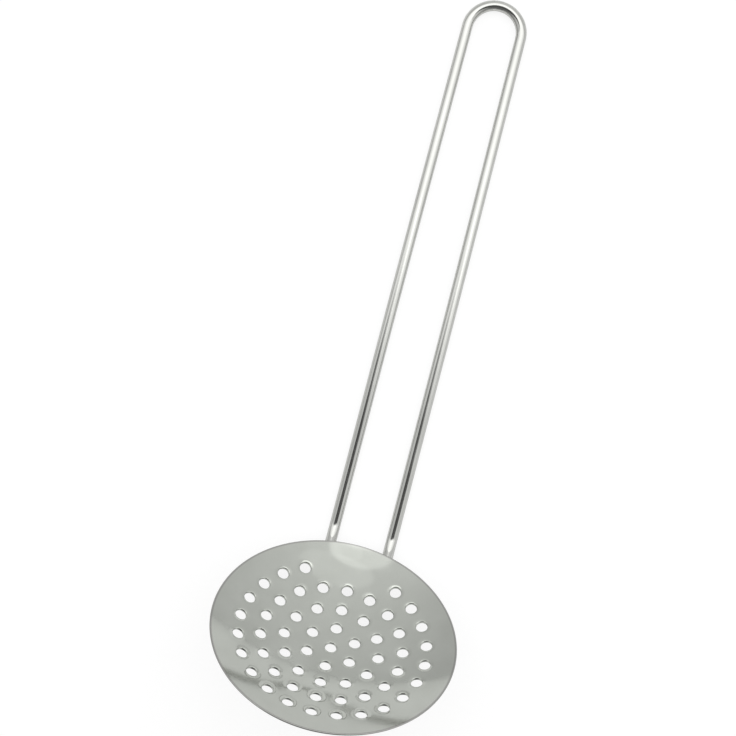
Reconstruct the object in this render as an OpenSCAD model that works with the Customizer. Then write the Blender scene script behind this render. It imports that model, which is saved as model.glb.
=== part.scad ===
// Kitchen skimmer: a round, shallow, pierced dish of sheet steel, welded under its rim to a
// long handle that is bent from one length of steel wire.
// It is drawn as it lies on a table. The handle's legs rest flat and the dish tilts up from them.
// +Y runs along the handle to its hanging loop, +Z is up, and the origin is on the table,
// under the middle of the whole skimmer.

/* [Dish] */
// Diameter of the dish across its rim
dish_d = 110; // [100:1:140]
// Depth of the dish's hollow at its middle, below the top of the rim
dish_depth = 9.4; // [7:0.1:12]
// Thickness of the sheet
sheet_t = 0.8; // [0.6:0.1:1]

/* [Holes] */
// Diameter of each hole
hole_d = 5.2; // [4.4:0.1:5.6]
// Distance from the middle hole to the first ring of holes
first_ring_r = 11.1; // [10.4:0.1:12]
// Distance from each ring of holes to the next
ring_step = 10.25; // [9.75:0.05:11]
// Least distance from the dish's rim to the middle of a hole
rim_band = 12; // [10:0.5:16]
// Width of the rolled lip round each hole
lip_w = 1.35; // [1:0.05:1.5]
// Radius of the roll that leads from the hollow into each hole
roll_r = 2; // [1.8:0.1:2.6]
// How far the collar round each hole stands out under the sheet
collar_h = 0.35; // [0.25:0.05:0.5]

/* [Handle] */
// Diameter of the handle's wire
wire_d = 5; // [4:0.1:6]
// Distance between the middles of the legs beside the dish
leg_spacing = 26.7; // [22:0.1:32]
// Length of the handle from its bend at the dish to the middle of the wire at its far end
handle_l = 250; // [180:1:320]
// Length of the legs' parallel part, from the bend
parallel_l = 114; // [80:1:150]
// How far each leg draws in from there to the loop
draw_in = 0.7; // [0.3:0.1:2]

/* [Joint] */
// Angle between the legs and the plane of the dish's rim
handle_angle = 40; // [30:1:50]
// Radius at which the wire bends towards the dish, to its middle
bend_r = 23; // [14:0.5:30]
// Distance from the rim out to the start of that bend, along the dish
bend_clear = 0.5; // [0:0.1:3]
// Distance that each wire's end reaches in from the rim, along the dish
end_inset = 17; // [15:0.5:18]
// Distance in from the rim to where the wire lies closest to the sheet
seat_inset = 8.5; // [7:0.25:10]
// Clearance between the wire and the sheet at that place, which weld metal fills
seat_gap = 0.1; // [0.05:0.05:0.2]
// Radius of each weld bead
bead_r = 3; // [2.8:0.1:3.2]
// Chamfer round the end of each wire
end_chamfer = 0.5; // [0.2:0.1:1]

/* [Hidden] */

// Fineness of the dish's rounds, of the wire's rounds and of the small rounds
dish_fn = 240;
wire_fn = 72;
lip_fn = 48;
// Spare length on what is cut away
over = 2;

// Sheet: its middle surface is part of a ball, and its edge is round and a touch fuller than the sheet
dish_r = dish_d / 2;
edge_fullness = 1.04;
edge_r = sheet_t / 2 * edge_fullness;
edge_x = dish_r - edge_r;
middle_ball_r = (edge_x * edge_x + dish_depth * dish_depth) / (2 * dish_depth);
inner_ball_r = middle_ball_r - sheet_t / 2;
outer_ball_r = middle_ball_r + sheet_t / 2;
ball_z = middle_ball_r - dish_depth - edge_r;
edge_angle = asin(edge_x / middle_ball_r);

// Lips: the roll's and the collar's rounds pass through the sheet's faces at a clear angle
hole_r = hole_d / 2;
lip_r = hole_r + lip_w;
roll_rise = 0.07;
collar_rise = 0.1;
collar_round_r = 1.2;

// Rings of holes: each one has six more than the last
ring_count = floor((dish_r - rim_band - first_ring_r) / ring_step) + 1;
holes_per_ring = 6;
hole_clearance = 0.3;

// Handle seen from above, with y = 0 where its bend at the dish begins
wire_r = wire_d / 2;
leg_x = leg_spacing / 2;
loop_r = leg_x - draw_in;
loop_y = handle_l - loop_r;
// Each leg's upper part touches the loop's round, and its angle follows from that
centres_l = norm([leg_x, loop_y - parallel_l]);
draw_in_angle = acos(loop_r / centres_l) - atan2(loop_y - parallel_l, leg_x);
slant_l = sqrt(centres_l * centres_l - loop_r * loop_r);
// Seams between the stretches of wire
seam_fullness = 1.006;
seam_gap = 0.1;

// Joint seen from the side, in the dish's own frame: its axis is z and the handle is at +y
seat_y = dish_r - seat_inset;
wire_to_ball = sqrt(pow(outer_ball_r + wire_r + seat_gap, 2) - leg_x * leg_x);
seat_angle = asin(seat_y / wire_to_ball);
seat_z = ball_z - wire_to_ball * cos(seat_angle);
seat_out = (dish_r + bend_clear - seat_y) / cos(seat_angle);
seat_in = (end_inset - seat_inset) / cos(seat_angle);
bend_angle = handle_angle - seat_angle;
bend_y = seat_y + seat_out * cos(seat_angle) - bend_r * (sin(seat_angle) - sin(handle_angle));
bend_z = seat_z + seat_out * sin(seat_angle) + bend_r * (cos(seat_angle) - cos(handle_angle));

// Whole skimmer: from the dish's far rim to the end of the loop
far_rim_y = -(edge_x + bend_y) * cos(handle_angle) - (edge_r + bend_z) * sin(handle_angle) - edge_r;
far_loop_y = handle_l + wire_r;
middle_y = (far_rim_y + far_loop_y) / 2;

// Welds: one bead near each wire's end and one near the rim
bead_drop = 0.6;
bead_margin = 0.4;
inner_bead = -seat_in + end_chamfer + bead_r;
rim_bead_r = dish_r - bead_r - bead_margin;
rim_bead = (sqrt(rim_bead_r * rim_bead_r - leg_x * leg_x) - seat_y) / cos(seat_angle);

// Turns the handle's frame into the whole skimmer's
module on_table() translate([0, -middle_y, wire_r]) children();

// Turns the dish's own frame into the handle's
module at_dish() rotate([-handle_angle, 0, 0]) translate([0, -bend_y, -bend_z]) children();

// Places the right leg's seat run, which is drawn along +Y, in the handle's frame
module at_right_bend()
    translate([leg_x, 0, bend_r]) rotate([180 - bend_angle, 0, 0]) translate([0, 0, bend_r]) children();

// Places what is drawn round the z axis at a point of the sheet's inner face, square to the sheet
module on_sheet(ring_r, turn)
    translate([0, 0, ball_z]) rotate([0, 0, -turn]) rotate([asin(ring_r / inner_ball_r), 0, 0])
        translate([0, 0, -inner_ball_r]) children();

// True where a hole would meet the welded ends of the handle or lie between them
function is_under_handle(ring_r, turn) =
    abs(ring_r * sin(turn)) < leg_x + wire_r + lip_r + hole_clearance
    && ring_r * cos(turn) > dish_r - end_inset - lip_r;

// Every hole of the pattern, as its ring's radius and its turn from the handle's side
holes = concat([[0, 0]], [
    for (ring = [1:ring_count], place = [0:holes_per_ring * ring - 1])
        let (ring_r = first_ring_r + (ring - 1) * ring_step, turn = 360 * place / (holes_per_ring * ring))
            if (!is_under_handle(ring_r, turn)) [ring_r, turn]
]);

// Half of the sheet's section, from its middle out to its round edge
module sheet_section() {
    intersection() {
        translate([0, ball_z]) difference() {
            circle(r = outer_ball_r, $fn = dish_fn);
            circle(r = inner_ball_r, $fn = dish_fn);
        }
        polygon([
            [0, ball_z],
            [0, ball_z - outer_ball_r - over],
            [(outer_ball_r + over) * tan(edge_angle), ball_z - outer_ball_r - over]
        ]);
    }
    translate([edge_x, -edge_r]) circle(r = edge_r, $fn = lip_fn);
}

// Collar that the punch pushes out under the sheet, drawn with the inner face at z = 0
module collar() {
    collar_x = lip_r + collar_rise;
    collar_z = -sheet_t + collar_rise - collar_round_r;
    rotate_extrude($fn = lip_fn) difference() {
        translate([0, -sheet_t - collar_h]) square([collar_x, collar_h + sheet_t / 2]);
        translate([collar_x, collar_z]) circle(r = collar_round_r, $fn = lip_fn);
    }
}

// What the punch takes away: the hole and the hollow of its roll, with the inner face at z = 0
module punch() {
    roll_z = roll_rise - roll_r;
    rotate_extrude($fn = lip_fn) {
        difference() {
            translate([0, roll_z]) square([lip_r, over - roll_z]);
            translate([lip_r, roll_z]) circle(r = roll_r, $fn = lip_fn);
        }
        translate([0, -sheet_t - over]) square([hole_r, sheet_t + 2 * over]);
    }
}

module perforated_dish() color([0.66, 0.68, 0.65]) on_table() at_dish() difference() {
    union() {
        rotate_extrude($fn = dish_fn) sheet_section();
        for (hole = holes) on_sheet(hole[0], hole[1]) collar();
    }
    for (hole = holes) on_sheet(hole[0], hole[1]) punch();
}

// Ball that joins one stretch of wire to the next. It is a hair fuller than the wire, so it closes the seam.
module seam() sphere(r = wire_r * seam_fullness, $fn = wire_fn);

// Straight wire from the origin along +Y, with what follows it at its end
module run(length) {
    translate([0, seam_gap, 0]) rotate([-90, 0, 0])
        cylinder(r = wire_r, h = length - 2 * seam_gap, $fn = wire_fn);
    translate([0, length, 0]) {
        seam();
        children();
    }
}

// Wire bent round the z axis, from a start angle through a further angle
module bent_wire(radius, start, angle) {
    gap_angle = asin(seam_gap / radius);
    rotate([0, 0, start + gap_angle]) rotate_extrude(angle = angle - 2 * gap_angle, $fn = dish_fn)
        translate([radius, 0]) circle(r = wire_r, $fn = wire_fn);
}

// Wire that leaves the origin along +Y and bends towards -X, with what follows it at its end
module bend(radius, angle) translate([-radius, 0, 0]) {
    bent_wire(radius, 0, angle);
    rotate([0, 0, angle]) translate([radius, 0, 0]) {
        seam();
        children();
    }
}

// Wire that lies under the dish, from the origin along +Y to its chamfered end
module seat_run() translate([0, seam_gap, 0]) rotate([-90, 0, 0]) {
    straight_l = seat_out + seat_in - seam_gap - end_chamfer;
    cylinder(r = wire_r, h = straight_l, $fn = wire_fn);
    translate([0, 0, straight_l])
        cylinder(r1 = wire_r, r2 = wire_r - end_chamfer, h = end_chamfer, $fn = wire_fn);
}

// Right leg, from the loop down to the wire's end under the dish
module leg()
    translate([loop_r * cos(draw_in_angle), loop_y + loop_r * sin(draw_in_angle), 0])
        rotate([180, 0, draw_in_angle]) {
            seam();
            run(slant_l)
                rotate([0, 0, draw_in_angle]) run(parallel_l)
                rotate([0, -90, 0]) bend(bend_r, bend_angle)
                seat_run();
        }

module wire_handle() color([0.8, 0.8, 0.8]) on_table() {
    translate([0, loop_y, 0]) bent_wire(loop_r, draw_in_angle, 180 - 2 * draw_in_angle);
    leg();
    mirror([1, 0, 0]) leg();
}

// Round bead against the sheet over the right leg, at a distance out from the seat's middle
module bead_blank(out) {
    y = seat_y + out * cos(seat_angle);
    z = seat_z + out * sin(seat_angle);
    from_axis = norm([leg_x, y]);
    from_ball = norm([leg_x, y, z - ball_z]);
    on_sheet(inner_ball_r * from_axis / from_ball, atan2(leg_x, y)) translate([0, 0, -sheet_t]) difference() {
        translate([0, 0, -bead_drop]) sphere(r = bead_r, $fn = wire_fn);
        translate([-bead_r, -bead_r, 0]) cube([2 * bead_r, 2 * bead_r, bead_r]);
    }
}

// Beads on the right leg, fitted round its wire
module leg_beads() on_table() difference() {
    at_dish() {
        bead_blank(inner_bead);
        bead_blank(rim_bead);
    }
    at_right_bend() seat_run();
}

module weld_beads_left() color([0.6, 0.6, 0.6]) mirror([1, 0, 0]) leg_beads();

module weld_beads_right() color([0.6, 0.6, 0.6]) leg_beads();

perforated_dish();
wire_handle();
weld_beads_left();
weld_beads_right();
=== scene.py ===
# Kitchen skimmer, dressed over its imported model: a pierced dish of polished sheet steel, welded to
# a handle of bright steel wire, as it lies on a white table. Lengths are in metres, in the packed
# model's frame: the handle runs along +Y to its hanging loop, and +Z is up from the table.
import math
import bpy
import numpy as np
from mathutils import Matrix, Vector
from mathutils.geometry import delaunay_2d_cdt


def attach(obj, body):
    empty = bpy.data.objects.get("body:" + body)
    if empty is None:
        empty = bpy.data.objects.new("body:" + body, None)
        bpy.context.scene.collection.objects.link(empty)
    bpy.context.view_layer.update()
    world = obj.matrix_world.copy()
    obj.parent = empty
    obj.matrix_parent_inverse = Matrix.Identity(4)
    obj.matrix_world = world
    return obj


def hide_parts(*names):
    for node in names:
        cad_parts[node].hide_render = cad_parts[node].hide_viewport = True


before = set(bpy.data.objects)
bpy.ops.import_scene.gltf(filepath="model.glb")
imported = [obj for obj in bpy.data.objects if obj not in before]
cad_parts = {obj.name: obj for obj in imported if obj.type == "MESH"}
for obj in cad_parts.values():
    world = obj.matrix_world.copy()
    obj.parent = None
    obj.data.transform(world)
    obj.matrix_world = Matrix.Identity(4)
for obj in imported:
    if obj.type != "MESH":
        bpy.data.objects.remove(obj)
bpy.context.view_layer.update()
MM = 0.001

# Dish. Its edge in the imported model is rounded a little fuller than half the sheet's thickness
DISH_R = 55 * MM
DISH_DEPTH = 9.4 * MM
SHEET_T = 0.8 * MM
EDGE_FULLNESS = 1.04
EDGE_R = SHEET_T / 2 * EDGE_FULLNESS
# Holes: one in the middle, and in each ring as many as HOLES_PER_RING times the ring's number
HOLE_R = 2.6 * MM
FIRST_RING_R = 11.1 * MM
RING_STEP = 10.25 * MM
RING_COUNT = 4
HOLES_PER_RING = 6
HOLE_CLEARANCE = 0.3 * MM
LIP_W = 1.35 * MM
COLLAR_H = 0.35 * MM
# Handle
WIRE_R = 2.5 * MM
LEG_X = 13.35 * MM
HANDLE_L = 250 * MM
PARALLEL_L = 114 * MM
DRAW_IN = 0.7 * MM
# Joint between the handle and the dish
HANDLE_ANGLE = math.radians(40)
BEND_R = 23 * MM
BEND_CLEAR = 0.5 * MM
END_INSET = 17 * MM
SEAT_INSET = 8.5 * MM
SEAT_GAP = 0.1 * MM
END_ROUND = 0.5 * MM
BEAD_R = 3 * MM
BEAD_DROP = 0.6 * MM
BEAD_MARGIN = 0.4 * MM
# Unevenness of a thing made by hand: the pattern of holes is turned and lies a little towards the handle,
# and the legs are set off at the dish
PATTERN_TURN = math.radians(0.9)
PATTERN_SHIFT = 0.6 * MM
LEG_SET_OFF = 0.6 * MM

# Sheet: its middle surface is part of a ball
EDGE_X = DISH_R - EDGE_R
MIDDLE_BALL_R = (EDGE_X ** 2 + DISH_DEPTH ** 2) / (2 * DISH_DEPTH)
INNER_BALL_R = MIDDLE_BALL_R - SHEET_T / 2
OUTER_BALL_R = MIDDLE_BALL_R + SHEET_T / 2
BALL_Z = MIDDLE_BALL_R - DISH_DEPTH - EDGE_R
EDGE_ANGLE = math.asin(EDGE_X / MIDDLE_BALL_R)

# Handle seen from above, with y = 0 where its bend at the dish begins
LOOP_R = LEG_X - DRAW_IN
LOOP_Y = HANDLE_L - LOOP_R
CENTRES_L = math.hypot(LEG_X, LOOP_Y - PARALLEL_L)
DRAW_IN_ANGLE = math.acos(LOOP_R / CENTRES_L) - math.atan2(LOOP_Y - PARALLEL_L, LEG_X)

# Joint seen from the side, in the dish's own frame
SEAT_Y = DISH_R - SEAT_INSET
WIRE_TO_BALL = math.sqrt((OUTER_BALL_R + WIRE_R + SEAT_GAP) ** 2 - LEG_X ** 2)
SEAT_ANGLE = math.asin(SEAT_Y / WIRE_TO_BALL)
SEAT_Z = BALL_Z - WIRE_TO_BALL * math.cos(SEAT_ANGLE)
SEAT_OUT = (DISH_R + BEND_CLEAR - SEAT_Y) / math.cos(SEAT_ANGLE)
SEAT_IN = (END_INSET - SEAT_INSET) / math.cos(SEAT_ANGLE)
BEND_ANGLE = HANDLE_ANGLE - SEAT_ANGLE
BEND_Y = (SEAT_Y + SEAT_OUT * math.cos(SEAT_ANGLE)
          - BEND_R * (math.sin(SEAT_ANGLE) - math.sin(HANDLE_ANGLE)))
BEND_Z = (SEAT_Z + SEAT_OUT * math.sin(SEAT_ANGLE)
          + BEND_R * (math.cos(SEAT_ANGLE) - math.cos(HANDLE_ANGLE)))

# The whole skimmer is centred on its own length
FAR_RIM_Y = (-(EDGE_X + BEND_Y) * math.cos(HANDLE_ANGLE)
             - (EDGE_R + BEND_Z) * math.sin(HANDLE_ANGLE) - EDGE_R)
MIDDLE_Y = (FAR_RIM_Y + HANDLE_L + WIRE_R) / 2
HANDLE_FRAME = Matrix.Translation((0, -MIDDLE_Y, WIRE_R))
DISH_FRAME = (HANDLE_FRAME @ Matrix.Rotation(-HANDLE_ANGLE, 4, "X")
              @ Matrix.Translation((0, -BEND_Y, -BEND_Z)))


def turned_by(matrix, directions):
    """Directions, one to a row, turned from a frame of the part's source into the model's."""
    return directions @ np.array(matrix.to_3x3()).T


def in_frame(matrix, points):
    """Points, one to a row, moved from a frame of the part's source into the model's."""
    return turned_by(matrix, points) + np.array(matrix.translation)


def ring_ids(start, ring_count, sides):
    """The numbers of a strip's vertices, ring by ring."""
    return [list(range(start + k * sides, start + (k + 1) * sides)) for k in range(ring_count)]


def ring_faces(first, second):
    """Faces that join one ring of vertices to the next."""
    count = len(first)
    return [(first[i], first[(i + 1) % count], second[(i + 1) % count], second[i]) for i in range(count)]


def make_piece(name, points, faces, material, replaced):
    """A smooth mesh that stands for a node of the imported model."""
    mesh = bpy.data.meshes.new(name)
    mesh.from_pydata([tuple(p) for p in points], [], faces)
    mesh.polygons.foreach_set("use_smooth", [True] * len(mesh.polygons))
    mesh.materials.append(material)
    mesh.update()
    piece = bpy.data.objects.new(name, mesh)
    bpy.context.collection.objects.link(piece)
    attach(piece, "root")
    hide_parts(replaced)
    return piece


# Materials

def new_material(name):
    """A material, its node tree and its main shader."""
    material = bpy.data.materials.new(name)
    material.use_nodes = True
    tree = material.node_tree
    return material, tree, tree.nodes["Principled BSDF"]


def feed(tree, value, socket):
    """Gives a socket its value: another node's output, a number or a colour."""
    if isinstance(value, bpy.types.NodeSocket):
        tree.links.new(value, socket)
    else:
        socket.default_value = value


def calculate(tree, operation, first, second):
    """A sum, a product or the like of two values, each of which is a node's output or a number."""
    node = tree.nodes.new("ShaderNodeMath")
    node.operation = operation
    feed(tree, first, node.inputs[0])
    feed(tree, second, node.inputs[1])
    return node.outputs["Value"]


def rescaled(tree, value, old_ends, new_ends, curve="LINEAR"):
    """A value moved from between the old ends to between the new ones."""
    node = tree.nodes.new("ShaderNodeMapRange")
    node.interpolation_type = curve
    for name, number in zip(("From Min", "From Max", "To Min", "To Max"), (*old_ends, *new_ends)):
        node.inputs[name].default_value = number
    tree.links.new(value, node.inputs["Value"])
    return node.outputs["Result"]


def mixed_colour(tree, share, first, second):
    """A colour between two, each of which is a node's output or a colour."""
    node = tree.nodes.new("ShaderNodeMix")
    node.data_type = "RGBA"
    feed(tree, share, node.inputs["Factor"])
    feed(tree, first, node.inputs["A"])
    feed(tree, second, node.inputs["B"])
    return node.outputs["Result"]


# The usual range of a noise, and how fine each noise of the steels is and how many finer layers it has
NOISE_ENDS = (0.3, 0.7)
EVENLY = (1, 1, 1)
LINE_DETAIL = 3
CLOUD_SCALE = 60
CLOUD_DETAIL = 4
WAVE_SCALE = 45
WAVE_DETAIL = 1
# Name of the dish's mark for its duller cut edge and the painted dark reflection along its rim
CUT_EDGE_AND_DARK_RIM = "cut_edge_and_painted_dark_rim"


def stretched_noise(tree, stretch, scale, detail):
    """Noise over the object, drawn out into lines or clouds by a stretch along each axis."""
    coordinates = tree.nodes.new("ShaderNodeTexCoord")
    mapping = tree.nodes.new("ShaderNodeMapping")
    mapping.inputs["Scale"].default_value = stretch
    texture = tree.nodes.new("ShaderNodeTexNoise")
    texture.inputs["Scale"].default_value = scale
    texture.inputs["Detail"].default_value = detail
    tree.links.new(coordinates.outputs["Object"], mapping.inputs["Vector"])
    tree.links.new(mapping.outputs["Vector"], texture.inputs["Vector"])
    return texture.outputs["Fac"]


def bump(tree, height, depth):
    """A node of bumps, with their depth in metres."""
    node = tree.nodes.new("ShaderNodeBump")
    node.inputs["Strength"].default_value = 1.0
    node.inputs["Distance"].default_value = depth
    tree.links.new(height, node.inputs["Height"])
    return node


def steel(name, dark, light, roughness, line_stretch, line_scale, line_depth, wave_depth):
    """Polished steel: faint polishing lines, clouds of wear, and a sheet or wire that isn't quite even."""
    material, tree, shader = new_material(name)
    lines = stretched_noise(tree, line_stretch, line_scale, LINE_DETAIL)
    clouds = stretched_noise(tree, EVENLY, CLOUD_SCALE, CLOUD_DETAIL)
    waves = stretched_noise(tree, EVENLY, WAVE_SCALE, WAVE_DETAIL)
    colour = mixed_colour(tree, rescaled(tree, clouds, NOISE_ENDS, (0, 1)), (*dark, 1), (*light, 1))
    fine = bump(tree, lines, line_depth)
    broad = bump(tree, waves, wave_depth)
    shader.inputs["Metallic"].default_value = 1.0
    tree.links.new(colour, shader.inputs["Base Color"])
    tree.links.new(rescaled(tree, clouds, NOISE_ENDS, roughness), shader.inputs["Roughness"])
    tree.links.new(broad.outputs["Normal"], fine.inputs["Normal"])
    tree.links.new(fine.outputs["Normal"], shader.inputs["Normal"])
    return material


def dull_cut_edge_and_paint_dark_rim(material, colour):
    """Duller metal where the sheet was cut, with a painted dark reflection along the rim. The dish's mesh
    marks that edge.
    """
    tree = material.node_tree
    base = tree.nodes["Principled BSDF"].inputs["Base Color"]
    polished = base.links[0].from_socket
    mark = tree.nodes.new("ShaderNodeAttribute")
    mark.attribute_name = CUT_EDGE_AND_DARK_RIM
    tree.links.new(mixed_colour(tree, mark.outputs["Fac"], polished, (*colour, 1)), base)


dish_steel = steel("dish_steel", dark=(0.475, 0.491, 0.455), light=(0.52, 0.537, 0.5),
                   roughness=(0.05, 0.09), line_stretch=(0.2, 1, 1), line_scale=2000,
                   line_depth=0.0006 * MM, wave_depth=0.03 * MM)
# Colour of the cut edge, darkened to paint a dark reflection along the rim
dull_cut_edge_and_paint_dark_rim(dish_steel, (0.37, 0.37, 0.355))
wire_steel = steel("wire_steel", dark=(0.53, 0.533, 0.51), light=(0.58, 0.583, 0.558),
                   roughness=(0.07, 0.12), line_stretch=(1, 0.02, 1), line_scale=3000,
                   line_depth=0.0004 * MM, wave_depth=0.004 * MM)
weld_metal = steel("weld_metal", dark=(0.3, 0.3, 0.29), light=(0.5, 0.5, 0.49),
                   roughness=(0.25, 0.45), line_stretch=EVENLY, line_scale=1500,
                   line_depth=0.01 * MM, wave_depth=0.02 * MM)


# Dish

# A hole's section is told by how far a point lies from the hole's axis, and how high above the sheet's
# inner face. The sheet dips towards the hole, turns down over its lip and ends in a collar on the back
DIMPLE_R = 4.9 * MM
DIMPLE_DEPTH = 0.1 * MM
DIMPLE_SHARPNESS = 3
DIMPLE_ROWS = 12
LIP_R = 0.48 * MM
LIP_ROWS = 12
WALL_TAPER = 0.1 * MM
COLLAR_EDGE_R = 0.14 * MM
COLLAR_EDGE_ROWS = 4
COLLAR_T = 0.55 * MM
COLLAR_ROWS = 9
HOLE_SIDES = 44
# The rim's edge and a band beside it are painted dark: a painted dark reflection on metal a little duller
# where it was cut
# Rim, with a band beside it: how far in each ring of the band lies, and how much painted dark it gets
RIM_SIDES = 300
RIM_ROWS = 13
RIM_BAND = ((0.7 * MM, 0), (0.45 * MM, 0.8))
# Triangles between the holes: their size, and how far their corners stay from the rim and from the holes
GRID_STEP = 2.5 * MM
GRID_ROW = GRID_STEP * math.sqrt(0.75)
GRID_TO_RIM = 0.8 * GRID_STEP
GRID_TO_HOLE = 0.3 * GRID_STEP
# Settings of the triangulation: it fills the whole outline, and places this near, in mm, are the same
FILL_ALL = 0
SAME_PLACE = 1e-5


def hole_list():
    """Every hole of the pattern: its distance from the dish's axis, and its turn from the handle's side."""
    holes = [(0.0, 0.0)]
    lip_r = HOLE_R + LIP_W
    for ring in range(1, RING_COUNT + 1):
        ring_r = FIRST_RING_R + (ring - 1) * RING_STEP
        for place in range(HOLES_PER_RING * ring):
            turn = 2 * math.pi * place / (HOLES_PER_RING * ring)
            beside_legs = abs(ring_r * math.sin(turn)) < LEG_X + WIRE_R + lip_r + HOLE_CLEARANCE
            over_legs = ring_r * math.cos(turn) > DISH_R - END_INSET - lip_r
            if not (beside_legs and over_legs):
                holes.append((ring_r, turn))
    moved = []
    for ring_r, turn in holes:
        x = ring_r * math.sin(turn + PATTERN_TURN)
        y = ring_r * math.cos(turn + PATTERN_TURN) + PATTERN_SHIFT
        moved.append((math.hypot(x, y), math.atan2(x, y)))
    return moved


def corner(centre_r, centre_z, radius, start, end, steps):
    """Points round a corner, between two angles in degrees."""
    angles = np.radians(np.linspace(start, end, steps))
    return [(centre_r + radius * math.cos(a), centre_z + radius * math.sin(a)) for a in angles]


def eased(share):
    """Rises from 0 to 1, level at both ends."""
    return share * share * (3 - 2 * share)


def hole_section():
    """From the inner face, over the dimple and its rolled lip, down the wall and out over the collar."""
    lip_end = HOLE_R + LIP_R
    dimple_w = DIMPLE_R - lip_end
    dimple = [(DIMPLE_R - dimple_w * s, -DIMPLE_DEPTH * s ** DIMPLE_SHARPNESS)
              for s in np.linspace(0, 1, DIMPLE_ROWS)]
    slope = math.degrees(math.atan(DIMPLE_DEPTH * DIMPLE_SHARPNESS / dimple_w))
    edge_r = HOLE_R - WALL_TAPER + COLLAR_EDGE_R
    edge_z = -SHEET_T - COLLAR_H + COLLAR_EDGE_R
    collar_r = HOLE_R + COLLAR_T
    section = dimple[:-1]
    section += corner(lip_end, -DIMPLE_DEPTH - LIP_R, LIP_R, 90 + slope, 180, LIP_ROWS)
    section += corner(edge_r, edge_z, COLLAR_EDGE_R, 180, 270, COLLAR_EDGE_ROWS)
    section += [(collar_r + (DIMPLE_R - collar_r) * s, -SHEET_T - COLLAR_H * (1 - eased(s)))
                for s in np.linspace(0, 1, COLLAR_ROWS)]
    return np.array(section)


def section_normals(section):
    """Normals along a section, square to the line through each point's neighbours."""
    tangents = np.gradient(section, axis=0)
    tangents[0] = (-1, 0)
    tangents[-1] = (1, 0)
    normals = np.stack([tangents[:, 1], -tangents[:, 0]], axis=1)
    return normals / np.linalg.norm(normals, axis=1, keepdims=True)


def hole_mesh(ring_r, turn, section, normals):
    """A hole's rings of points and normals in the dish's frame, from the inner face to the outer one."""
    # The hole's axis points away from the ball's middle, and out and side lie square to it
    tilt = math.asin(ring_r / INNER_BALL_R)
    axis = np.array((math.sin(tilt) * math.sin(turn), math.sin(tilt) * math.cos(turn), -math.cos(tilt)))
    out = np.array((math.cos(tilt) * math.sin(turn), math.cos(tilt) * math.cos(turn), math.sin(tilt)))
    side = np.cross(out, axis)
    around = np.linspace(0, 2 * math.pi, HOLE_SIDES, endpoint=False)
    radial = np.outer(np.cos(around), out) + np.outer(np.sin(around), side)
    points = []
    directions = []
    for (r, z), (normal_r, normal_z) in zip(section, normals):
        angle = r / INNER_BALL_R
        outward = math.cos(angle) * axis + math.sin(angle) * radial
        along = math.cos(angle) * radial - math.sin(angle) * axis
        points.append(outward * (INNER_BALL_R - z) + (0, 0, BALL_Z))
        directions.append(normal_r * along - normal_z * outward)
    return points, directions


def rim_mesh():
    """A band beside the rim and the half-round edge, as rings of points and normals, inner face first."""
    turns = np.linspace(0, 2 * math.pi, RIM_SIDES, endpoint=False)
    along = np.stack([np.sin(turns), np.cos(turns), np.zeros(RIM_SIDES)], axis=1)
    points = []
    directions = []

    def add_ring(r, z, angle):
        points.append(along * r + (0, 0, z))
        directions.append(along * math.cos(angle) + (0, 0, math.sin(angle)))

    for inset, _ in RIM_BAND:
        angle = math.acos(-(EDGE_X - inset) / INNER_BALL_R)
        add_ring(EDGE_X - inset, BALL_Z - INNER_BALL_R * math.sin(angle), angle)
    for angle in np.radians(np.linspace(90, -90, RIM_ROWS)) + EDGE_ANGLE:
        add_ring(EDGE_X + SHEET_T / 2 * math.cos(angle), -EDGE_R + SHEET_T / 2 * math.sin(angle), angle)
    return points, directions


def grid_places(hole_centres):
    """Places for vertices on the sheet between its holes and its rim, seen along the dish's axis."""
    rows = int(DISH_R / GRID_ROW) + 1
    places = []
    for row in range(-rows, rows + 1):
        shift = GRID_STEP / 2 * (row % 2)
        for column in range(-rows - 1, rows + 2):
            x = column * GRID_STEP + shift
            y = row * GRID_ROW
            nearest_hole = min(math.hypot(x - hole_x, y - hole_y) for hole_x, hole_y in hole_centres)
            if math.hypot(x, y) < EDGE_X - GRID_TO_RIM and nearest_hole > DIMPLE_R + GRID_TO_HOLE:
                places.append((x, y))
    return places


def triangulate(loops, places):
    """Triangles between the rim's loop, which comes first, the holes' loops and the places on the sheet."""
    flat = [point for loop in loops for point in loop] + places
    owners = [k for k, loop in enumerate(loops) for _ in loop] + [0] * len(places)
    edges = []
    start = 0
    for loop in loops:
        edges += [(start + i, start + (i + 1) % len(loop)) for i in range(len(loop))]
        start += len(loop)
    in_mm = [Vector((x / MM, y / MM)) for x, y in flat]
    _, _, triangles, origins, _, _ = delaunay_2d_cdt(in_mm, edges, [], FILL_ALL, SAME_PLACE)
    kept = []
    for triangle in triangles:
        corners = [origins[i][0] for i in triangle]
        # A triangle whose corners all belong to one hole lies inside that hole
        touched = {owners[i] for i in corners}
        inside_a_hole = len(touched) == 1 and touched != {0}
        if not inside_a_hole:
            kept.append(corners)
    return kept


def face_points(places, ball_r, side):
    """Points and normals at the grid's places, on the dish's inner face (side 1) or outer face (side -1)."""
    flat = np.array(places)
    down = -np.sqrt(INNER_BALL_R ** 2 - (flat ** 2).sum(axis=1))
    outward = np.column_stack([flat, down]) / INNER_BALL_R
    return outward * ball_r + (0, 0, BALL_Z), outward * -side


def mark_cut_edge_and_painted_dark_rim(mesh):
    """Marks the band and the rim's edge down to the back, for the duller cut metal and the painted dark
    reflection. Their rings come first in the mesh.
    """
    ring_marks = [mark for _, mark in RIM_BAND] + [1] * (RIM_ROWS - 1)
    marks = np.zeros(len(mesh.vertices))
    marks[:RIM_SIDES * len(ring_marks)] = np.repeat(ring_marks, RIM_SIDES)
    mesh.attributes.new(CUT_EDGE_AND_DARK_RIM, "FLOAT", "POINT").data.foreach_set("value", marks)


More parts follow.
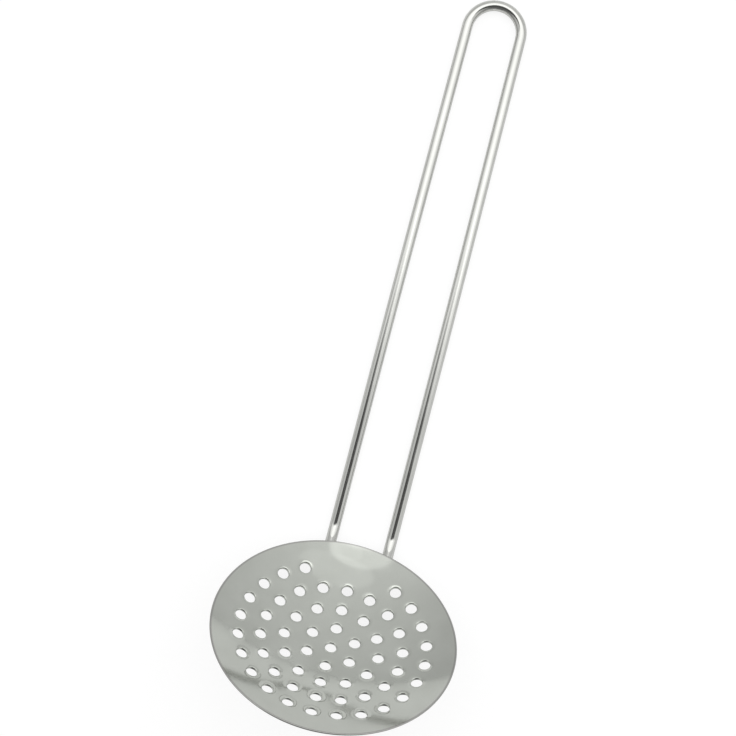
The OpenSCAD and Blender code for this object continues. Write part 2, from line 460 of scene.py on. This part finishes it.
def make_dish():
    """One closed surface: strips of rings over the rim and through each hole, and two faces between them."""
    holes = hole_list()
    section = hole_section()
    normals = section_normals(section)
    strips = [rim_mesh()] + [hole_mesh(ring_r, turn, section, normals) for ring_r, turn in holes]
    points = []
    directions = []
    faces = []
    inner_loops = []
    outer_loops = []
    for strip_points, strip_directions in strips:
        rings = ring_ids(len(points), len(strip_points), len(strip_points[0]))
        points.extend(np.concatenate(strip_points))
        directions.extend(np.concatenate(strip_directions))
        for first, second in zip(rings, rings[1:]):
            faces += ring_faces(first, second)
        inner_loops.append(rings[0])
        outer_loops.append(rings[-1])
    places = grid_places([(ring_r * math.sin(turn), ring_r * math.cos(turn)) for ring_r, turn in holes])
    triangles = triangulate([[tuple(points[i][:2]) for i in loop] for loop in inner_loops], places)
    for loops, ball_r, side in ((inner_loops, INNER_BALL_R, 1), (outer_loops, OUTER_BALL_R, -1)):
        ids = [i for loop in loops for i in loop] + list(range(len(points), len(points) + len(places)))
        faces += [(ids[a], ids[b], ids[c])[::side] for a, b, c in triangles]
        new_points, new_directions = face_points(places, ball_r, side)
        points.extend(new_points)
        directions.extend(new_directions)
    placed = in_frame(DISH_FRAME, np.array(points))
    dish = make_piece("dish", placed, faces, dish_steel, "perforated_dish")
    turned = turned_by(DISH_FRAME, np.array(directions))
    dish.data.normals_split_custom_set_from_vertices(turned.tolist())
    mark_cut_edge_and_painted_dark_rim(dish.data)


# Handle

# How far before and behind their kink the legs curve, and the number of points along each stretch of
# the wire's route and over its rounded ends
KINK_REACH = 40 * MM
SEAT_POINTS = 8
BEND_POINTS = 14
STRAIGHT_POINTS = 12
KINK_POINTS = 17
LOOP_POINTS = 73
END_RINGS = 6
WIRE_SIDES = 56


def bend_point(angle):
    """Place on the right leg's bend, at an angle before its end."""
    return np.array((LEG_X, -BEND_R * math.sin(angle), BEND_R * (1 - math.cos(angle))))


def loop_point(angle):
    """Place on the loop, at an angle round it from the right."""
    return np.array((LOOP_R * math.cos(angle), LOOP_Y + LOOP_R * math.sin(angle), 0))


def line_points(start, end, count):
    """Points evenly along a straight line, with both ends."""
    return [start + (end - start) * share for share in np.linspace(0, 1, count)]


def leg_route():
    """Middle line of the right leg in the handle's frame, from its end under the dish to the loop."""
    rise = np.array((0, math.cos(BEND_ANGLE), -math.sin(BEND_ANGLE)))
    seat_end = bend_point(BEND_ANGLE) - rise * (SEAT_OUT + SEAT_IN)
    route = line_points(seat_end, bend_point(BEND_ANGLE), SEAT_POINTS)
    route += [bend_point(angle) for angle in np.linspace(BEND_ANGLE, 0, BEND_POINTS)[1:]]
    curve_y = PARALLEL_L - KINK_REACH
    route += line_points(route[-1], np.array((LEG_X, curve_y, 0)), STRAIGHT_POINTS)[1:]
    # Between its two straight stretches the leg follows a parabola, which meets both without a corner
    slope = math.tan(DRAW_IN_ANGLE)
    for run in np.linspace(0, 2 * KINK_REACH, KINK_POINTS)[1:]:
        route.append(np.array((LEG_X - slope * run * run / (4 * KINK_REACH), curve_y + run, 0)))
    return route + line_points(route[-1], loop_point(DRAW_IN_ANGLE), STRAIGHT_POINTS)[1:]


def handle_route():
    """Middle line of the whole wire, from the right leg's end round the loop to the left leg's end."""
    right = leg_route()
    left = [p * (-1, 1, 1) for p in reversed(right)]
    angles = np.linspace(DRAW_IN_ANGLE, math.pi - DRAW_IN_ANGLE, LOOP_POINTS)[1:-1]
    route = np.array(right + [loop_point(angle) for angle in angles] + left)
    route[:, 0] += LEG_SET_OFF * np.maximum(0, 1 - route[:, 1] / LOOP_Y)
    return route


def wire_rings(route):
    """Rings of points round the wire's route, with rounded cut ends."""
    tangents = np.gradient(route, axis=0)
    tangents[0] = route[1] - route[0]
    tangents[-1] = route[-1] - route[-2]
    tangents /= np.linalg.norm(tangents, axis=1, keepdims=True)
    around = np.linspace(0, 2 * math.pi, WIRE_SIDES, endpoint=False)
    rings = []

    def add_ring(centre, tangent, radius):
        up = np.array((0, 0, 1.0)) - tangent * tangent[2]
        up /= np.linalg.norm(up)
        side = np.cross(tangent, up)
        rings.append(centre + radius * (np.outer(np.cos(around), side) + np.outer(np.sin(around), up)))

    def add_end(centre, tangent, inward):
        """Rings from the flat of a cut end over its rounded edge."""
        angles = np.radians(np.linspace(90, 0, END_RINGS))
        ends = [(END_ROUND * (1 - math.sin(a)), WIRE_R - END_ROUND * (1 - math.cos(a))) for a in angles]
        for depth, radius in (ends if inward > 0 else reversed(ends)):
            add_ring(centre + tangent * inward * depth, tangent, radius)

    add_end(route[0], tangents[0], 1)
    for centre, tangent in zip(route[1:-1], tangents[1:-1]):
        add_ring(centre, tangent, WIRE_R)
    add_end(route[-1], tangents[-1], -1)
    return rings


def make_handle():
    """The bent wire, closed by a flat at each end."""
    rings = wire_rings(handle_route())
    ids = ring_ids(0, len(rings), WIRE_SIDES)
    faces = []
    for first, second in zip(ids, ids[1:]):
        faces += ring_faces(second, first)
    faces.append(tuple(ids[0]))
    faces.append(tuple(reversed(ids[-1])))
    placed = in_frame(HANDLE_FRAME, np.concatenate(rings))
    make_piece("handle", placed, faces, wire_steel, "wire_handle")


# Weld beads

# Where the two on each leg lie along it, and how far their flats reach into the sheet
INNER_BEAD = -SEAT_IN + END_ROUND + BEAD_R
RIM_BEAD_R = DISH_R - BEAD_R - BEAD_MARGIN
RIM_BEAD = (math.sqrt(RIM_BEAD_R ** 2 - LEG_X ** 2) - SEAT_Y) / math.cos(SEAT_ANGLE)
BEAD_SINK = SHEET_T / 4
BEAD_SIDES = 40
# Swells in their skin: how deep, how many round a bead and over it, and how many radians they turn
# for each mm along the leg
BEAD_UNEVENNESS = 0.05
SWELLS_ROUND = 3
SWELLS_OVER = 4
SWELL_TURN = 40


def bead_mesh(x, out):
    """An uneven blob of weld metal in the dish's frame, flat where it lies against the sheet."""
    ball = np.array((0, 0, BALL_Z))
    wire = np.array((x, SEAT_Y + out * math.cos(SEAT_ANGLE), SEAT_Z + out * math.sin(SEAT_ANGLE)))
    down = (wire - ball) / np.linalg.norm(wire - ball)
    centre = ball + down * (OUTER_BALL_R + BEAD_DROP)
    points = []
    for tilt in np.linspace(0, math.pi, BEAD_SIDES // 2 + 1)[1:-1]:
        for turn in np.linspace(0, 2 * math.pi, BEAD_SIDES, endpoint=False):
            swell = (math.sin(SWELLS_ROUND * turn + SWELL_TURN * out / MM)
                     * math.sin(SWELLS_OVER * tilt + x / MM))
            radius = BEAD_R * (1 - BEAD_UNEVENNESS * (1 + swell) / 2)
            point = centre + radius * np.array((math.sin(tilt) * math.cos(turn),
                                                math.sin(tilt) * math.sin(turn), math.cos(tilt)))
            reach = np.linalg.norm(point - ball)
            points.append(ball + (point - ball) * max(1, (OUTER_BALL_R - BEAD_SINK) / reach))
    rows = ring_ids(0, len(points) // BEAD_SIDES, BEAD_SIDES)
    faces = [tuple(rows[0]), tuple(reversed(rows[-1]))]
    for first, second in zip(rows, rows[1:]):
        faces += ring_faces(second, first)
    return points, faces


def make_beads(side, name, replaced):
    """Both beads of one leg, as one piece."""
    points = []
    faces = []
    for out in (INNER_BEAD, RIM_BEAD):
        bead_points, bead_faces = bead_mesh(side * LEG_X + LEG_SET_OFF, out)
        faces += [tuple(i + len(points) for i in face) for face in bead_faces]
        points += bead_points
    placed = in_frame(DISH_FRAME, np.array(points))
    make_piece(name, placed, faces, weld_metal, replaced)


# Studio

# Table: its size, its colour, how much of what the camera sees of it is a glow, and the glow's level
FLOOR_SIZE = 8.0
FLOOR_WHITE = (0.97, 0.97, 0.97)
FLOOR_GLOW = 0.8
WHITE_LEVEL = 1.03
# The steel shows a smaller share of the glow, at a level that falls between two distances
STEEL_GLOW = 0.25
NEAR_FLOOR = 0.2
FAR_FLOOR = 0.8
NEAR_LEVEL = 0.7
FAR_LEVEL = 0.45
# Light of the room: its level along the handle, how much it gains along each axis, how much it falls
# with the square of the way to a side, and the square where that fall ends
ROOM_LEVEL = 0.773
ROOM_GAIN = (0.08, 0, 0.27)
SIDE_FALL = 0.55
SIDE_LIMIT = 0.2
# Dark part of the room behind the dish: its level, its gain along each axis and its least level
BACK_LEVEL = 1.0
BACK_GAIN = (0, 1.2, 0.3)
BACK_LEAST = 0.12
# Paler strip of it along the horizon: its level there, and how much it falls with height
HORIZON_LEVEL = 0.8
HORIZON_FALL = 1.7
# Height of the lamps and of the card overhead, which only the steel shows
CEILING_Z = 1.3
# Lamp over the handle: the width, the near edge and the strength of each of its panels, lowest first
LAMP_FAR_EDGE = 1.15
LAMP_PANELS = ((1.5, 0.16, 0.25), (3.2, 0.19, 0.25), (6.4, 0.22, 0.18), (12.8, 0.25, 0.12))
LAMP_GAP = 0.01
# Round panels that the dish shows between the legs: the middle, the size and the strength of each
ROUND_PANELS = {
    "low_panel": ((-0.049, 1.042, 1.14), (0.47, 0.29), 0.21),
    "wide_panel": ((0.085, 1.19, 0.995), (0.55, 0.28), 0.08),
    "small_panel": ((0.05, 1.05, 1.12), (0.24, 0.16), 0.07),
}
ROUND_PANEL_AIM = (0, -0.1, 0)
# Lamp above the card, which lights the table through it
TOP_PANEL_Y = -0.4
TOP_PANEL_RISE = 0.1
TOP_PANEL_SIZE = (1.2, 1.4)
TOP_PANEL_STRENGTH = 0.4
# Card of painted reflections, dark with a glowing far edge: its size and place, its level, and the level and
# the width of its fading far edge
CARD_SIZE = (1.6, 1.45)
CARD_Y = -0.485
CARD_DROP = 0.01
CARD_TURN = math.radians(-5)
CARD_DARK = 0.11
CARD_LIGHT = 1.65
CARD_FADE = 0.16
# Camera: its place, aim and roll, its lens and its sensor in mm, and how far it sees
CAMERA_PLACE = Vector((17.4, -143.7, 1335.4)) * MM
CAMERA_AIM = Vector((-16.6, -8.1, 0)) * MM
CAMERA_ROLL = math.radians(14.84)
CAMERA_LENS = 143.53
CAMERA_SENSOR_W = 36
CAMERA_REACH = 20


def make_plane(name, size):
    """A flat rectangle about its own middle."""
    x, y = size[0] / 2, size[1] / 2
    mesh = bpy.data.meshes.new(name)
    mesh.from_pydata([(-x, -y, 0), (x, -y, 0), (x, y, 0), (-x, y, 0)], [], [(0, 1, 2, 3)])
    plane = bpy.data.objects.new(name, mesh)
    bpy.context.collection.objects.link(plane)
    return plane


def floor_white():
    """Matt white that partly glows, so that it stays pale and still shows the skimmer's shadow."""
    material, tree, shader = new_material("floor_white")
    shader.inputs["Base Color"].default_value = (*FLOOR_WHITE, 1)
    shader.inputs["Roughness"].default_value = 1.0
    shader.inputs["Specular IOR Level"].default_value = 0.0
    place = tree.nodes.new("ShaderNodeTexCoord")
    distance = tree.nodes.new("ShaderNodeVectorMath")
    distance.operation = "LENGTH"
    tree.links.new(place.outputs["Object"], distance.inputs[0])
    falling = rescaled(tree, distance.outputs["Value"], (NEAR_FLOOR, FAR_FLOOR),
                       (NEAR_LEVEL, FAR_LEVEL), "SMOOTHSTEP")
    rays = tree.nodes.new("ShaderNodeLightPath")
    level = tree.nodes.new("ShaderNodeMix")
    level.inputs["B"].default_value = WHITE_LEVEL
    tree.links.new(falling, level.inputs["A"])
    tree.links.new(rays.outputs["Is Camera Ray"], level.inputs["Factor"])
    glow = tree.nodes.new("ShaderNodeEmission")
    glow.inputs["Color"].default_value = (1, 1, 1, 1)
    tree.links.new(level.outputs["Result"], glow.inputs["Strength"])
    mirrored = calculate(tree, "MAXIMUM", rays.outputs["Is Glossy Ray"], rays.outputs["Is Transmission Ray"])
    seen_share = calculate(tree, "MULTIPLY", rays.outputs["Is Camera Ray"], FLOOR_GLOW)
    mirrored_share = calculate(tree, "MULTIPLY", mirrored, STEEL_GLOW)
    mix = tree.nodes.new("ShaderNodeMixShader")
    tree.links.new(calculate(tree, "ADD", seen_share, mirrored_share), mix.inputs["Fac"])
    tree.links.new(shader.outputs["BSDF"], mix.inputs[1])
    tree.links.new(glow.outputs["Emission"], mix.inputs[2])
    tree.links.new(mix.outputs["Shader"], tree.nodes["Material Output"].inputs["Surface"])
    return material


def make_floor():
    """White table."""
    floor = make_plane("floor", (FLOOR_SIZE, FLOOR_SIZE))
    floor.data.materials.append(floor_white())


def make_world():
    """Pale room round the table, lighter overhead and darker at the sides, and dark behind the dish."""
    world = bpy.data.worlds.new("studio")
    world.use_nodes = True
    tree = world.node_tree
    coordinates = tree.nodes.new("ShaderNodeTexCoord")

    def slope(gain, level):
        """A level that changes evenly with direction."""
        along = tree.nodes.new("ShaderNodeVectorMath")
        along.operation = "DOT_PRODUCT"
        along.inputs[1].default_value = gain
        tree.links.new(coordinates.outputs["Generated"], along.inputs[0])
        return calculate(tree, "ADD", along.outputs["Value"], level)

    sideways = slope((1, 0, 0), 0)
    side = calculate(tree, "MINIMUM", calculate(tree, "MULTIPLY", sideways, sideways), SIDE_LIMIT)
    side_loss = calculate(tree, "MULTIPLY", side, SIDE_FALL)
    front = calculate(tree, "SUBTRACT", slope(ROOM_GAIN, ROOM_LEVEL), side_loss)
    strip = calculate(tree, "MAXIMUM", slope((0, 0, -HORIZON_FALL), HORIZON_LEVEL), BACK_LEAST)
    back = calculate(tree, "MAXIMUM", slope(BACK_GAIN, BACK_LEVEL), strip)
    room = calculate(tree, "MINIMUM", front, back)
    rays = tree.nodes.new("ShaderNodeLightPath")
    white_to_camera = calculate(tree, "MAXIMUM", room, rays.outputs["Is Camera Ray"])
    background = tree.nodes["Background"]
    background.inputs["Color"].default_value = (1, 1, 1, 1)
    tree.links.new(white_to_camera, background.inputs["Strength"])
    bpy.context.scene.world = world


def make_panel(name, shape, centre, size, strength, aim):
    """Soft light panel that faces a point, as bright at any size. The camera doesn't see it."""
    data = bpy.data.lights.new(name, "AREA")
    data.shape = shape
    data.size, data.size_y = size
    data.energy = strength * size[0] * size[1] * math.pi
    panel = bpy.data.objects.new(name, data)
    panel.location = centre
    panel.rotation_euler = (Vector(aim) - Vector(centre)).to_track_quat("-Z", "Y").to_euler()
    panel.visible_camera = False
    bpy.context.collection.objects.link(panel)


def make_lamps():
    """The lamp over the handle, the round panels beyond it and the lamp above the card."""
    for level, (width, near_edge, strength) in enumerate(LAMP_PANELS):
        middle = (near_edge + LAMP_FAR_EDGE) / 2
        make_panel("lamp", "RECTANGLE", (0, middle, CEILING_Z + LAMP_GAP * level),
                   (width, LAMP_FAR_EDGE - near_edge), strength, (0, middle, 0))
    for name, (centre, size, strength) in ROUND_PANELS.items():
        make_panel(name, "ELLIPSE", centre, size, strength, ROUND_PANEL_AIM)
    make_panel("top_panel", "RECTANGLE", (0, TOP_PANEL_Y, CEILING_Z + TOP_PANEL_RISE),
               TOP_PANEL_SIZE, TOP_PANEL_STRENGTH, (0, TOP_PANEL_Y, 0))


def card_dark():
    """Painted reflection: a dim glow that rises to a bright glow at the card's far edge."""
    material, tree, shader = new_material("painted_reflection_card")
    tree.nodes.remove(shader)
    place = tree.nodes.new("ShaderNodeTexCoord")
    parts = tree.nodes.new("ShaderNodeSeparateXYZ")
    glow = tree.nodes.new("ShaderNodeEmission")
    far_edge = CARD_SIZE[1] / 2
    tree.links.new(place.outputs["Object"], parts.inputs["Vector"])
    level = rescaled(tree, parts.outputs["Y"], (far_edge - CARD_FADE, far_edge),
                     (CARD_DARK, CARD_LIGHT), "SMOOTHSTEP")
    tree.links.new(level, glow.inputs["Strength"])
    tree.links.new(glow.outputs["Emission"], tree.nodes["Material Output"].inputs["Surface"])
    return material


def make_dark_card():
    """Card overhead, round the camera, which only the steel shows: it paints a dark reflection with a bright
    strip at its far edge.
    """
    card = make_plane("painted_reflection_card", CARD_SIZE)
    card.location = (0, CARD_Y, CEILING_Z - CARD_DROP)
    card.rotation_euler = (0, 0, CARD_TURN)
    card.data.materials.append(card_dark())
    card.visible_camera = False
    card.visible_diffuse = False
    card.visible_shadow = False
    card.visible_transmission = False


def make_camera():
    """The photograph's view: almost straight down from over the dish, with the handle leaning right."""
    data = bpy.data.cameras.new("camera")
    data.sensor_width = CAMERA_SENSOR_W
    data.lens = CAMERA_LENS
    data.clip_end = CAMERA_REACH
    camera = bpy.data.objects.new("camera", data)
    back = (CAMERA_PLACE - CAMERA_AIM).normalized()
    level_up = (Vector((0, 1, 0)) - back * back.y).normalized()
    level_right = level_up.cross(back)
    up = level_up * math.cos(CAMERA_ROLL) - level_right * math.sin(CAMERA_ROLL)
    turn = Matrix((up.cross(back), up, back)).transposed()
    camera.matrix_world = Matrix.Translation(CAMERA_PLACE) @ turn.to_4x4()
    bpy.context.collection.objects.link(camera)
    bpy.context.scene.camera = camera


make_dish()
make_handle()
make_beads(-1, "beads_left", "weld_beads_left")
make_beads(1, "beads_right", "weld_beads_right")
make_floor()
make_world()
make_lamps()
make_dark_card()
make_camera()
bpy.context.scene.view_settings.view_transform = "Standard"
